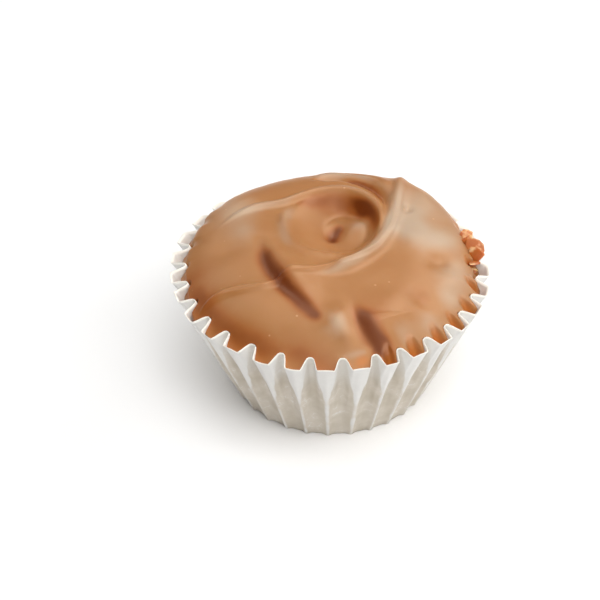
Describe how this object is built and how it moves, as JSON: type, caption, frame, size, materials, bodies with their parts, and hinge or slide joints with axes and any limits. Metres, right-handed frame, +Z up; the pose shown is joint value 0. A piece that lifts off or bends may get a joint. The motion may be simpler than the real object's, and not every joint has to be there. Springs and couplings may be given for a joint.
{
  "type": "chocolate cashew cup",
  "caption": "Milk chocolate and cashew candy with a swirled, domed top, set in a fluted white paper candy cup.",
  "frame": {"origin": "middle of the paper cup's flat underside, on the surface that the cup stands on", "axes": "+Z up through the dome, -Y towards the side that the picture shows at the front, +X to its right"},
  "size_m": [0.0509, 0.0501, 0.0284],
  "materials": {
    "milk_chocolate": "satin, tempered milk chocolate with a soft sheen",
    "white_paper": "matt, thin greaseproof paper, slightly see-through"
  },
  "bodies": {
    "root": {"chocolate": "milk_chocolate", "paper_cup": "white_paper"}
  },
  "joints": []
}
